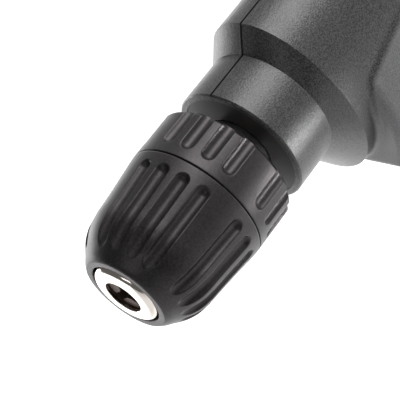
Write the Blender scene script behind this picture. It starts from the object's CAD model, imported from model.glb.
import bpy
import numpy as np
from mathutils import Matrix


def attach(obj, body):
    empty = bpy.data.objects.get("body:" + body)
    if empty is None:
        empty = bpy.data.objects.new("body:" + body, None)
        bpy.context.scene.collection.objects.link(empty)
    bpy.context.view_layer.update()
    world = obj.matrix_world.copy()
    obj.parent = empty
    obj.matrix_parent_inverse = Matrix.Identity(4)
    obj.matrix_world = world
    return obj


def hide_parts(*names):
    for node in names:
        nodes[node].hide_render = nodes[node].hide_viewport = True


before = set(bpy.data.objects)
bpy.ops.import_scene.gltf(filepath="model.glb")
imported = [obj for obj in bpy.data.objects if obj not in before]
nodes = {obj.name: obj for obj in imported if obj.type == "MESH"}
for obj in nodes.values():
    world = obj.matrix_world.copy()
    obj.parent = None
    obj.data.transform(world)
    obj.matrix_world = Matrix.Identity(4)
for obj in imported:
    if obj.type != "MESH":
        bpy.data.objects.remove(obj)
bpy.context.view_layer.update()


# Armature shaft and motor bearings: ground steel, with the pinion cut on the front end of the shaft.
# The bearings are pressed on the shaft, and their balls and races carry a thin film of grease.
def put(tree, kind, sockets=None, **settings):
    """One shader node with its settings; each socket is given a value or a link from another socket."""
    node = tree.nodes.new(kind)
    for name, value in settings.items():
        setattr(node, name, value)
    for name, value in (sockets or {}).items():
        if isinstance(value, bpy.types.NodeSocket):
            tree.links.new(value, node.inputs[name])
        else:
            node.inputs[name].default_value = value
    return node


def begin_finish(name, colour, roughness, metallic=0.0):
    """A new material with a plain colour and gloss, and the object coordinates its pattern reads."""
    material = bpy.data.materials.new(name)
    material.use_nodes = True
    tree = material.node_tree
    shader = tree.nodes["Principled BSDF"]
    shader.inputs["Base Color"].default_value = (*colour, 1.0)
    shader.inputs["Roughness"].default_value = roughness
    shader.inputs["Metallic"].default_value = metallic
    place = put(tree, "ShaderNodeTexCoord").outputs["Object"]
    return material, tree, shader, place


def speckle(tree, place, size_mm, detail=2.0):
    """Noise from 0 to 1 whose blotches are about size_mm across."""
    sockets = {"Vector": place, "Scale": 1000.0 / size_mm, "Detail": detail, "Roughness": 0.55}
    return put(tree, "ShaderNodeTexNoise", sockets).outputs["Fac"]


def stretched(tree, place, share):
    """The place with each axis scaled by its share, so that a small share draws the pattern out."""
    return put(tree, "ShaderNodeVectorMath", {0: place, 1: share}, operation="MULTIPLY").outputs[0]


def spread(tree, value, low, high, start=0.3, end=0.7):
    """The value's stretch from start to end, carried over to the range from low to high."""
    sockets = {"Value": value, "From Min": start, "From Max": end, "To Min": low, "To Max": high}
    return put(tree, "ShaderNodeMapRange", sockets).outputs["Result"]


def tint(tree, value, dark, light):
    """A colour between dark at 0 and light at 1; each is three numbers or a link from another socket."""
    mix = put(tree, "ShaderNodeMix", data_type="RGBA")
    for name, given in (("Factor", value), ("A", dark), ("B", light)):
        socket = next(s for s in mix.inputs if s.name == name and s.enabled)
        if isinstance(given, bpy.types.NodeSocket):
            tree.links.new(given, socket)
        else:
            socket.default_value = (*given, 1.0)
    return next(s for s in mix.outputs if s.enabled)


def feed(shader, name, value):
    """Lead a pattern into one of the shader's sockets."""
    shader.id_data.links.new(value, shader.inputs[name])


def mottle(shader, pattern, dark, light):
    """Colour that goes from dark to light as the pattern rises."""
    tree = shader.id_data
    feed(shader, "Base Color", tint(tree, spread(tree, pattern, 0.0, 1.0), dark, light))


def roughen(shader, pattern, first, last):
    """Roughness that goes from first to last as the pattern rises."""
    feed(shader, "Roughness", spread(shader.id_data, pattern, first, last))


def relief(shader, height, depth_mm, strength=1.0):
    """Bump of a real depth in millimetres."""
    sockets = {"Height": height, "Distance": depth_mm / 1000.0, "Strength": strength}
    feed(shader, "Normal", put(shader.id_data, "ShaderNodeBump", sockets).outputs["Normal"])


def paint(material, *names):
    """Give CAD nodes this finish."""
    for name in names:
        nodes[name].data.materials.clear()
        nodes[name].data.materials.append(material)


turning_marks = (1.0, 0.03, 0.03)
bearing_rings = ("inner_race", "outer_race", "balls")
machined_steel, tree, shader, place = begin_finish("machined_steel", (0.58, 0.575, 0.57), 0.3, metallic=1.0)
marks = speckle(tree, stretched(tree, place, turning_marks), size_mm=0.14)
grease = speckle(tree, place, size_mm=7.0, detail=3.0)
mottle(shader, grease, dark=(0.46, 0.45, 0.44), light=(0.62, 0.615, 0.61))
roughen(shader, marks, 0.24, 0.42)
relief(shader, marks, depth_mm=0.004, strength=0.5)
paint(machined_steel, "armature_shaft")
for end in ("front", "rear"):
    paint(machined_steel, *[f"{end}_motor_bearing_{ring}" for ring in bearing_rings])


# Armature and stator cores: stacks of half millimetre electrical sheet, punched, pressed together
# and blued where the edges were heated. The armature is pressed on the shaft, the stator in the housing.
def ridges(tree, place, pitch_mm, axis, wobble=0.0):
    """Waves from 0 to 1 across one axis, a pitch apart; a wave turns 20 radians per unit of scale."""
    scale = 2.0 * np.pi / (20.0 * pitch_mm / 1000.0)
    sockets = {"Vector": place, "Scale": scale, "Distortion": wobble}
    return put(tree, "ShaderNodeTexWave", sockets, bands_direction=axis).outputs["Fac"]


sheet_mm = 0.5
laminated_steel, tree, shader, place = begin_finish(
    "laminated_steel", (0.34, 0.34, 0.35), 0.42, metallic=1.0
)
sheets = ridges(tree, place, sheet_mm, "X", wobble=0.4)
blueing = speckle(tree, place, size_mm=11.0, detail=3.0)
mottle(shader, blueing, dark=(0.24, 0.245, 0.27), light=(0.38, 0.375, 0.37))
feed(shader, "Roughness", spread(tree, sheets, 0.62, 0.36, start=0.0, end=0.5))
relief(shader, sheets, depth_mm=0.05, strength=0.8)
paint(laminated_steel, "armature_core", "stator_core")


# Armature winding and field coils: enamelled copper wire laid along the slots and dipped in resin.
# The strands run with the shaft, and the resin leaves them brown and half glossy.
strand_mm = 0.7
along_shaft = (0.06, 1.0, 1.0)
enamelled_copper, tree, shader, place = begin_finish(
    "enamelled_copper", (0.50, 0.23, 0.10), 0.34, metallic=0.7
)
strands = speckle(tree, stretched(tree, place, along_shaft), strand_mm, detail=1.0)
resin = speckle(tree, place, size_mm=5.0, detail=3.0)
mottle(shader, resin, dark=(0.34, 0.13, 0.05), light=(0.56, 0.27, 0.12))
roughen(shader, resin, 0.24, 0.46)
relief(shader, strands, depth_mm=0.3, strength=0.9)
paint(enamelled_copper, "armature_winding", "field_coils")


# Commutator: copper bars moulded on a hub, pressed on the shaft and turned round, with a darker
# track where the brushes run.
round_the_track = (1.0, 0.1, 0.1)
bare_copper, tree, shader, place = begin_finish("bare_copper", (0.72, 0.38, 0.22), 0.3, metallic=1.0)
marks = speckle(tree, stretched(tree, place, turning_marks), size_mm=0.2)
track = speckle(tree, stretched(tree, place, round_the_track), size_mm=4.0)
mottle(shader, track, dark=(0.36, 0.19, 0.12), light=(0.74, 0.40, 0.24))
roughen(shader, marks, 0.22, 0.4)
relief(shader, marks, depth_mm=0.01, strength=0.6)
paint(bare_copper, "commutator")


# Fan and baffle: glass-filled nylon mouldings. The fan is pressed on the shaft behind the gear plate,
# and the baffle is held in a groove of the housing.
across_fan = (1.0, 0.3, 1.0)
fan_plastic, tree, shader, place = begin_finish("fan_plastic", (0.08, 0.08, 0.085), 0.5)
fibres = speckle(tree, stretched(tree, place, across_fan), size_mm=1.2, detail=3.0)
mottle(shader, fibres, dark=(0.06, 0.06, 0.064), light=(0.1, 0.1, 0.105))
roughen(shader, fibres, 0.42, 0.6)
relief(shader, fibres, depth_mm=0.03, strength=0.6)
paint(fan_plastic, "cooling_fan", "fan_baffle")


# Bearing boot and cord gland: soft black rubber mouldings, dull and a little dusty. The boot holds the
# rear bearing in the housing's spider, and the gland sits in the foot, where the cord comes in.
soft_rubber, tree, shader, place = begin_finish("soft_rubber", (0.03, 0.03, 0.03), 0.7)
dust = speckle(tree, place, size_mm=4.0, detail=4.0)
pores = speckle(tree, place, size_mm=0.3)
mottle(shader, dust, dark=(0.022, 0.022, 0.022), light=(0.05, 0.049, 0.048))
roughen(shader, dust, 0.6, 0.82)
relief(shader, pores, depth_mm=0.03, strength=0.7)
paint(soft_rubber, "bearing_boot", "cord_gland")


# Brush gear: pressed brass holders on shelves of the housing, with grey carbon brushes inside them
# and a coil spring behind each brush. The spindle's clip is of the same spring steel.
along_strip = (1.0, 0.05, 1.0)
holder_brass, tree, shader, place = begin_finish("holder_brass", (0.72, 0.56, 0.27), 0.32, metallic=1.0)
tarnish = speckle(tree, place, size_mm=3.0, detail=4.0)
rolled = speckle(tree, stretched(tree, place, along_strip), size_mm=0.2)
mottle(shader, tarnish, dark=(0.55, 0.40, 0.18), light=(0.76, 0.60, 0.30))
roughen(shader, rolled, 0.24, 0.4)
relief(shader, rolled, depth_mm=0.006, strength=0.5)
paint(holder_brass, "brush_holders")

carbon, tree, shader, place = begin_finish("carbon", (0.05, 0.05, 0.052), 0.6)
pressed = speckle(tree, place, size_mm=0.25, detail=3.0)
mottle(shader, pressed, dark=(0.035, 0.035, 0.037), light=(0.075, 0.075, 0.078))
roughen(shader, pressed, 0.5, 0.72)
relief(shader, pressed, depth_mm=0.02, strength=0.7)
paint(carbon, "carbon_brushes")

coil_mm = 0.9
gap_colour, wire_colour = (0.05, 0.05, 0.05), (0.38, 0.375, 0.37)
spring_steel, tree, shader, place = begin_finish("spring_steel", (0.36, 0.355, 0.35), 0.34, metallic=1.0)
coils = ridges(tree, place, coil_mm, "Y")
oil = speckle(tree, place, size_mm=2.5, detail=3.0)
on_wire = spread(tree, coils, 0.0, 1.0, start=0.0, end=0.5)
feed(shader, "Base Color", tint(tree, on_wire, gap_colour, wire_colour))
roughen(shader, oil, 0.26, 0.44)
relief(shader, coils, depth_mm=0.25, strength=0.8)
paint(spring_steel, "brush_springs", "spindle_clip")


# Gear plate and its bush: a die-cast aluminium wall between the gears and the motor, with a sintered
# bronze bush pressed in for the tail of the spindle.
up_the_plate = (1.0, 1.0, 0.35)
cast_aluminium, tree, shader, place = begin_finish("cast_aluminium", (0.66, 0.66, 0.67), 0.46, metallic=1.0)
skin = speckle(tree, place, size_mm=1.1, detail=4.0)
flow = speckle(tree, stretched(tree, place, up_the_plate), size_mm=8.0, detail=3.0)
mottle(shader, flow, dark=(0.52, 0.52, 0.53), light=(0.70, 0.70, 0.71))
roughen(shader, skin, 0.38, 0.56)
relief(shader, skin, depth_mm=0.05, strength=0.6)
paint(cast_aluminium, "gear_plate")

sintered_bronze, tree, shader, place = begin_finish(
    "sintered_bronze", (0.55, 0.40, 0.22), 0.4, metallic=1.0
)
pores = speckle(tree, place, size_mm=0.25, detail=3.0)
mottle(shader, pores, dark=(0.33, 0.22, 0.11), light=(0.58, 0.43, 0.25))
roughen(shader, pores, 0.52, 0.34)
relief(shader, pores, depth_mm=0.02, strength=0.7)
paint(sintered_bronze, "spindle_bush")


# Spindle, its gear and its bearing: turned and ground steel like the armature shaft, held in the
# collar by the bearing cover and a spring clip.
paint(machined_steel, "spindle", "spindle_gear", *[f"spindle_bearing_{ring}" for ring in bearing_rings])


# Bearing cover: a satin black plastic disc, moulded and pressed into the collar's front face,
# round the spindle.
cover_plastic, tree, shader, place = begin_finish("cover_plastic", (0.014, 0.014, 0.0145), 0.45)
grain = speckle(tree, place, size_mm=0.4, detail=3.0)
mottle(shader, grain, dark=(0.010, 0.010, 0.0105), light=(0.019, 0.019, 0.0195))
roughen(shader, grain, 0.4, 0.52)
relief(shader, grain, depth_mm=0.03, strength=0.8)
paint(cover_plastic, "bearing_cover")


# Switch, lever pin, capacitor and cord clamp: plain dark grey mouldings with a fine skin, held
# between ribs of the handle.
switch_plastic, tree, shader, place = begin_finish("switch_plastic", (0.10, 0.10, 0.105), 0.42)
grain = speckle(tree, place, size_mm=0.6, detail=3.0)
mottle(shader, grain, dark=(0.085, 0.085, 0.09), light=(0.12, 0.12, 0.125))
roughen(shader, grain, 0.36, 0.5)
relief(shader, grain, depth_mm=0.02, strength=0.6)
paint(switch_plastic, "switch_module", "lever_pin", "capacitor", "cord_clamp")


# Trigger, dial, lever and lock button: black nylon mouldings with a fine satin skin, polished a little
# where fingers rub them. The dial turns on a steel pin in the trigger.
control_plastic, tree, shader, place = begin_finish("control_plastic", (0.03, 0.03, 0.032), 0.42)
skin = speckle(tree, place, size_mm=0.35)
rubbed = speckle(tree, place, size_mm=9.0)
mottle(shader, skin, dark=(0.022, 0.022, 0.024), light=(0.042, 0.042, 0.045))
roughen(shader, rubbed, 0.34, 0.5)
relief(shader, skin, depth_mm=0.03, strength=0.8)
paint(control_plastic, "trigger", "trigger_stem", "speed_dial", "reverse_lever", "lock_button")
paint(machined_steel, "dial_pin")


# Screws: zinc plated steel. Eight hold the housing halves together, driven from the right side, two
# hold the cord clamp, and one runs through the chuck's floor into the spindle.
screw_steel, tree, shader, place = begin_finish("screw_steel", (0.21, 0.205, 0.195), 0.45, metallic=1.0)
bloom = speckle(tree, place, size_mm=1.6, detail=4.0)
mottle(shader, bloom, dark=(0.16, 0.155, 0.14), light=(0.26, 0.26, 0.25))
roughen(shader, bloom, 0.38, 0.52)
relief(shader, bloom, depth_mm=0.008, strength=0.5)
paint(screw_steel, "housing_screws", "clamp_screws", "chuck_screw")


# Housing halves: two glass-filled nylon mouldings, screwed together at the middle plane. A spark-eroded
# grain covers the collar and the gear case; the motor body and handle are lighter, duller and finer.
def worked(tree, operation, *numbers):
    """The result of one step of arithmetic on the numbers."""
    return put(tree, "ShaderNodeMath", dict(enumerate(numbers)), operation=operation).outputs[0]


def reach(tree, place):
    """How far a place is from the origin."""
    return put(tree, "ShaderNodeVectorMath", {0: place}, operation="LENGTH").outputs["Value"]


case_dark, case_light = (0.006, 0.006, 0.0064), (0.075, 0.075, 0.078)
body_dark, body_light = (0.145, 0.145, 0.149), (0.220, 0.220, 0.226)
groove_colour = (0.008, 0.008, 0.008)
groove_half = 0.00040
oval_half_width, oval_half_height, oval_drop = 0.0210, 0.0289, 0.0035
oval_end, body_begin = 1.03, 1.06
per_oval = (0.0, 1.0 / oval_half_width, 1.0 / oval_half_height)
housing_plastic, tree, shader, place = begin_finish("housing_plastic", case_dark, 0.3)

# The gear case is an oval about a line just under the spindle, and what stands outside it is motor body.
raised = put(tree, "ShaderNodeVectorMath", {0: place, 1: (0.0, 0.0, oval_drop)}, operation="ADD").outputs[0]
from_oval = reach(tree, stretched(tree, raised, per_oval))
on_body = spread(tree, from_oval, 0.0, 1.0, start=oval_end, end=body_begin)

fine = speckle(tree, place, size_mm=0.40, detail=1.0)
coarse = speckle(tree, place, size_mm=9.0, detail=3.0)
pitted = spread(tree, fine, 0.0, 1.0, start=0.36, end=0.66)
case_colour = tint(tree, pitted, case_dark, case_light)
body_colour = tint(tree, pitted, body_dark, body_light)
from_middle = worked(tree, "ABSOLUTE", put(tree, "ShaderNodeSeparateXYZ", {"Vector": place}).outputs["Y"])
past_groove = spread(tree, from_middle, 0.0, 1.0, start=0.9 * groove_half, end=groove_half)
grained = tint(tree, on_body, case_colour, body_colour)
feed(shader, "Base Color", tint(tree, past_groove, groove_colour, grained))
shader.inputs["Specular IOR Level"].default_value = 0.68
case_roughness = spread(tree, coarse, 0.33, 0.38)
body_dulling = spread(tree, on_body, 0.0, 0.12, start=0.0, end=1.0)
feed(shader, "Roughness", worked(tree, "ADD", case_roughness, body_dulling))
grain_share = spread(tree, on_body, 1.0, 0.6, start=0.0, end=1.0)
relief(shader, worked(tree, "MULTIPLY", fine, grain_share), depth_mm=0.075)
paint(housing_plastic, "left_housing", "right_housing")


# Chuck body, nut and jaws: hardened tool steel, turned or ground and left with a brown film of oil.
# The body is screwed on the spindle, and the three jaws slide in its slanted holes.
tool_steel, tree, shader, place = begin_finish("tool_steel", (0.11, 0.080, 0.070), 0.5, metallic=0.6)
film = speckle(tree, place, size_mm=2.2, detail=4.0)
marks = speckle(tree, stretched(tree, place, turning_marks), size_mm=0.2)
mottle(shader, film, dark=(0.085, 0.058, 0.050), light=(0.145, 0.106, 0.093))
roughen(shader, marks, 0.44, 0.6)
relief(shader, marks, depth_mm=0.008, strength=0.5)
paint(tool_steel, "chuck_body", "jaw_nut", "jaw_1", "jaw_2", "jaw_3")


# Chuck sleeves: two near-black nylon mouldings with soft round flutes in groups, one place in
# five left plain. The front one turns the nut; the rear one is pressed on the chuck body.
flute_pitch = np.radians(18.0)
flute_round = 2.0
flute_sink = 1.3
flute_edge = 0.14
flute_side_slope = 3.0
far_aside = 10.0
plain_every = 5
columns = 640
around = np.linspace(0.0, 2.0 * np.pi, columns, endpoint=False)


def surface(name, grid):
    """A closed mesh from a grid of points in millimetres; rows and columns both join end to start."""
    rows, count = grid.shape[:2]
    index = np.arange(rows * count).reshape(rows, count)
    index = np.pad(index, ((0, 1), (0, 1)), mode="wrap")
    corners = (index[:-1, :-1], index[:-1, 1:], index[1:, 1:], index[1:, :-1])
    faces = np.stack(corners, -1).reshape(-1, 4)
    mesh = bpy.data.meshes.new(name)
    mesh.from_pydata((grid.reshape(-1, 3) / 1000).tolist(), [], faces.tolist())
    mesh.shade_smooth()
    piece = bpy.data.objects.new(name, mesh)
    bpy.context.scene.collection.objects.link(piece)
    return piece


def turned(x, radius, angles):
    """Points at each place along the spindle and angle about it, counted from the top to the left side."""
    x, radius, angles = np.broadcast_arrays(x, radius, angles)
    return np.stack([x, radius * np.sin(angles), radius * np.cos(angles)], axis=-1)


def soft_least(first, second, blend):
    """The smaller of two heights, with their crossing rounded over the blend distance."""
    share = np.clip(0.5 + 0.5 * (second - first) / blend, 0.0, 1.0)
    return second + (first - second) * share - blend * share * (1.0 - share)


def fluted(x, land, floor, first_flute, back_end, front_end):
    """Land radius with ball-nosed channels: floor plus the ball's rise beside and beyond the ends."""
    turn = (around[None, :] - np.radians(first_flute)) / flute_pitch
    nearest = np.round(turn)
    aside = np.abs(turn - nearest) * flute_pitch * land[:, None]
    aside = np.where(np.mod(nearest, plain_every) == plain_every - 1, far_aside, aside)
    beyond = np.maximum(0.0, np.maximum(back_end - x, x - front_end))
    away = np.hypot(aside, beyond[:, None])
    rise = flute_round - np.sqrt(np.maximum(flute_round**2 - away**2, 0.0))
    rise = rise + flute_side_slope * np.maximum(0.0, away - flute_round)
    return soft_least(np.broadcast_to(land[:, None], rise.shape), floor[:, None] + rise, flute_edge)


def smooth_curve(knots, heights, x):
    """Cubic through the knots whose slope at each is a weighted mean of the slopes on both sides."""
    slopes = np.gradient(heights, knots)
    cell = np.clip(np.searchsorted(-knots, -x) - 1, 0, len(knots) - 2)
    width = knots[cell + 1] - knots[cell]
    t = (x - knots[cell]) / width
    start = (1 + 2 * t) * (1 - t) ** 2 * heights[cell] + t * (1 - t) ** 2 * width * slopes[cell]
    end = t**2 * (3 - 2 * t) * heights[cell + 1] + t**2 * (t - 1) * width * slopes[cell + 1]
    return start + end


def eased(corners, setbacks, steps=6):
    """Outline through the corners, each rounded by a parabola that leaves the line one setback away."""
    corners, setbacks = np.array(corners), np.array(setbacks)[:, None]
    back = np.vstack([corners[:1], corners[:-1]]) - corners
    ahead = np.vstack([corners[1:], corners[-1:]]) - corners
    back = back / np.maximum(np.linalg.norm(back, axis=1, keepdims=True), 1e-9) * setbacks
    ahead = ahead / np.maximum(np.linalg.norm(ahead, axis=1, keepdims=True), 1e-9) * setbacks
    t = np.linspace(0.0, 1.0, steps)[None, :, None]
    return (corners[:, None] + back[:, None] * (1 - t) ** 2 + ahead[:, None] * t**2).reshape(-1, 2)


def ring_rows(skin_x, skin, outline):
    """Fluted skin rows followed by the plain rows of the rest of the section, all the way round."""
    plain = np.broadcast_to(outline[:, 1:], (len(outline), columns))
    x = np.concatenate([skin_x, outline[:, 0]])[:, None]
    return turned(x, np.vstack([skin, plain]), around[None, :])


front_rows = 117
front_places = np.array([-0.95, -1.6, -3.5, -6.0, -9.0, -12.0, -16.0, -20.0, -25.0, -30.6])
front_lands = np.array([11.55, 12.3, 13.75, 15.6, 17.0, 17.65, 18.0, 18.35, 18.85, 19.35])
front_floors = np.array([13.55, 13.7, 14.1, 14.65, 15.42, 16.2, 16.66, 17.04, 17.55, 18.05])
front_x = np.linspace(-1.3, -30.3, front_rows)
front_land = smooth_curve(front_places, front_lands, front_x)
front_floor = smooth_curve(front_places, front_floors, front_x)
front_skin = fluted(front_x, front_land, front_floor, first_flute=-7.4, back_end=-26.1, front_end=10.0)
front_inside = eased(
    [(-30.65, 19.33), (-30.65, 16.7), (-16.6, 16.7), (-8.0, 9.8), (-0.95, 9.8), (-0.95, 11.55)],
    [0.3, 0.3, 0.5, 0.5, 0.3, 0.4],
)
front_sleeve = surface("sleeve_front", ring_rows(front_x, front_skin, front_inside))

ring_radius = 19.35
straight_rows, bevel_rows = 58, 12
bevel_start, bevel_edge = -44.0, 0.2
rear_x = np.concatenate(
    [np.linspace(-31.3, -43.85, straight_rows), np.linspace(-43.95, -45.1, bevel_rows)]
)
rear_land = soft_least(np.full_like(rear_x, ring_radius), ring_radius - bevel_start + rear_x, bevel_edge)
rear_floor = np.full_like(rear_x, ring_radius - flute_sink)
rear_skin = fluted(rear_x, rear_land, rear_floor, first_flute=-3.2, back_end=-60.0, front_end=-35.6)
rear_inside = eased(
    [(-45.2, 17.95), (-45.2, 16.4), (-30.95, 16.4), (-30.95, ring_radius)],
    [0.1, 0.2, 0.3, 0.35],
)
rear_sleeve = surface("sleeve_rear", ring_rows(rear_x, rear_skin, rear_inside))

sleeve_dark = (0.0012, 0.0011, 0.0011)
sleeve_light = (0.0195, 0.0180, 0.0184)
sleeve_plastic, tree, shader, place = begin_finish("sleeve_plastic", sleeve_dark, 0.27)
shader.inputs["Specular IOR Level"].default_value = 0.56
shader.inputs["Specular Tint"].default_value = (1.0, 0.93, 0.95, 1.0)
fine = speckle(tree, place, size_mm=0.35)
grain = speckle(tree, place, size_mm=0.55, detail=1.0)
coarse = speckle(tree, place, size_mm=6.0, detail=3.0)
mottle(shader, grain, sleeve_dark, sleeve_light)
roughen(shader, coarse, 0.36, 0.41)
relief(shader, fine, depth_mm=0.03, strength=0.8)
sleeves = (front_sleeve, "chuck_sleeve", "front_sleeve"), (rear_sleeve, "spindle", "rear_sleeve")
for piece, body, node in sleeves:
    piece.data.materials.append(sleeve_plastic)
    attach(piece, body)
    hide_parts(node)


# Nose cap: a pressed steel ring, nickel plated and faced on a lathe, so that very fine rings
# run round the mouth. It is pushed over the front of the chuck body.
mouth, outer, bore = 5.15, 9.5, 8.2
lip_back, skirt_back = -1.0, -6.5
nose_outline = eased(
    [
        (-0.45, mouth), (0.0, mouth), (0.0, outer), (skirt_back, outer),
        (skirt_back, bore), (lip_back, bore), (lip_back, mouth), (-0.55, mouth),
    ],
    [0.05, 0.25, 2.6, 0.2, 0.2, 0.2, 0.35, 0.05],
    steps=14,
)
nose_cap = surface("nose_ring", turned(nose_outline[:, :1], nose_outline[:, 1:], around[None, ::2]))
bright_steel, tree, shader, place = begin_finish("bright_steel", (0.82, 0.76, 0.71), 0.12, metallic=1.0)
from_axis = reach(tree, stretched(tree, place, (0.0, 1.0, 1.0)))
rings = put(tree, "ShaderNodeCombineXYZ", {"X": from_axis}).outputs[0]
lathe_lines = speckle(tree, rings, size_mm=0.12, detail=1.0)
roughen(shader, lathe_lines, 0.09, 0.16)
relief(shader, lathe_lines, depth_mm=0.004, strength=0.5)
nose_cap.data.materials.append(bright_steel)
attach(nose_cap, "spindle")
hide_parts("nose_cap")


# Floor: a pale paper sheet under the foot of the handle. It looks white to the eye, and reflections
# in the tool show it bright behind and on the right, and dimmer in front and on the left.
floor_half = 4.0
floor_height = -0.1672
shown_white, faint_fill = 0.62, 0.05
floor_mesh = bpy.data.meshes.new("floor")
sides = np.array([(-1, -1), (1, -1), (1, 1), (-1, 1)]) * floor_half
floor_mesh.from_pydata([(x, y, floor_height) for x, y in sides.tolist()], [], [(0, 1, 2, 3)])
floor = bpy.data.objects.new("floor", floor_mesh)
bpy.context.scene.collection.objects.link(floor)
floor_paper, tree, shader, place = begin_finish("floor_paper", (0.88, 0.88, 0.88), 0.9)
path = put(tree, "ShaderNodeLightPath").outputs
shader.inputs["Emission Color"].default_value = (1.0, 1.0, 1.0, 1.0)
seen = spread(tree, path["Is Camera Ray"], faint_fill, shown_white, start=0.0, end=1.0)
across = put(tree, "ShaderNodeSeparateXYZ", {"Vector": place}).outputs
to_front = spread(tree, across["X"], 1.20, 0.30, start=-0.03, end=0.10)
to_left = spread(tree, across["Y"], 1.0, 0.35, start=0.04, end=0.14)
on_right = spread(tree, across["Y"], 1.45, 0.3, start=-0.18, end=-0.06)
glow = worked(tree, "MAXIMUM", worked(tree, "MULTIPLY", to_front, to_left), on_right)
mirrored = worked(tree, "MULTIPLY", path["Is Glossy Ray"], glow)
feed(shader, "Emission Strength", worked(tree, "MAXIMUM", seen, mirrored))
floor_mesh.materials.append(floor_paper)


# Light: a surround that is dim in front of the tool and pale behind it, a large soft box behind and
# above, a small one in front, a low one on the right, and on the left a narrow beam that shows only
# in reflections.
pale_behind, dim_ahead = 0.75, 0.12
world = bpy.data.worlds.new("surround")
bpy.context.scene.world = world
world.use_nodes = True
tree = world.node_tree
way = put(tree, "ShaderNodeTexCoord").outputs["Generated"]
ahead = put(tree, "ShaderNodeSeparateXYZ", {"Vector": way}).outputs["X"]
falloff = spread(tree, ahead, pale_behind, dim_ahead, start=-0.45, end=0.0)
to_camera = put(tree, "ShaderNodeLightPath").outputs["Is Camera Ray"]
background = tree.nodes["Background"]
background.inputs["Color"].default_value = (1.0, 1.0, 1.0, 1.0)
feed(background, "Strength", worked(tree, "MAXIMUM", falloff, to_camera))


def soft_box(name, place, aim, width, height, watts):
    """An area lamp at a place in metres, turned to face the aim."""
    lamp = bpy.data.lights.new(name, "AREA")
    lamp.shape = "RECTANGLE"
    lamp.size = width
    lamp.size_y = height
    lamp.energy = watts
    holder = bpy.data.objects.new(name, lamp)
    bpy.context.scene.collection.objects.link(holder)
    back = np.array(place) - np.array(aim)
    back = back / np.linalg.norm(back)
    side = np.cross((0.0, 0.0, 1.0), back)
    side = side / np.linalg.norm(side)
    axes = np.column_stack([side, np.cross(back, side), back])
    holder.matrix_world = Matrix.Translation(place) @ Matrix(axes.tolist()).to_4x4()
    return holder


soft_box("box_behind", (-0.50, 0.21, 0.76), (-0.05, 0.0, 0.0), width=0.62, height=0.62, watts=5.8)
soft_box("box_front", (0.446, 0.121, 0.386), (0.0, 0.0, 0.0), width=0.32, height=0.13, watts=0.24)
beam = soft_box(
    "box_left", (-0.118, 0.137, -0.060), (-0.049, 0.018, 0.003), width=0.026, height=0.060, watts=0.0024
)
beam.visible_diffuse = False
beam.data.spread = np.radians(15.0)
soft_box("box_right", (0.05, -0.85, -0.04), (-0.05, 0.0, 0.0), width=0.55, height=0.22, watts=1.5)


# Camera: a long lens above the front left, rolled so that the spindle points down and left.
# Its place and turn were fitted to the outlines of the chuck, the collar and the gear case.
camera_place = np.array((0.11533, 0.25304, 0.23176))
camera_right = np.array((-0.5628, 0.7129, -0.4183))
camera_up = np.array((-0.7256, -0.1837, 0.6631))
camera_back = np.cross(camera_right, camera_up)
lens = bpy.data.cameras.new("photo_camera")
lens.lens = 135.0
lens.sensor_width = 36.0
lens.clip_start = 0.01
camera = bpy.data.objects.new("photo_camera", lens)
bpy.context.scene.collection.objects.link(camera)
turn = Matrix(np.column_stack([camera_right, camera_up, camera_back]).tolist()).to_4x4()
camera.matrix_world = Matrix.Translation(camera_place.tolist()) @ turn
bpy.context.scene.camera = camera
bpy.context.scene.view_settings.view_transform = "Standard"
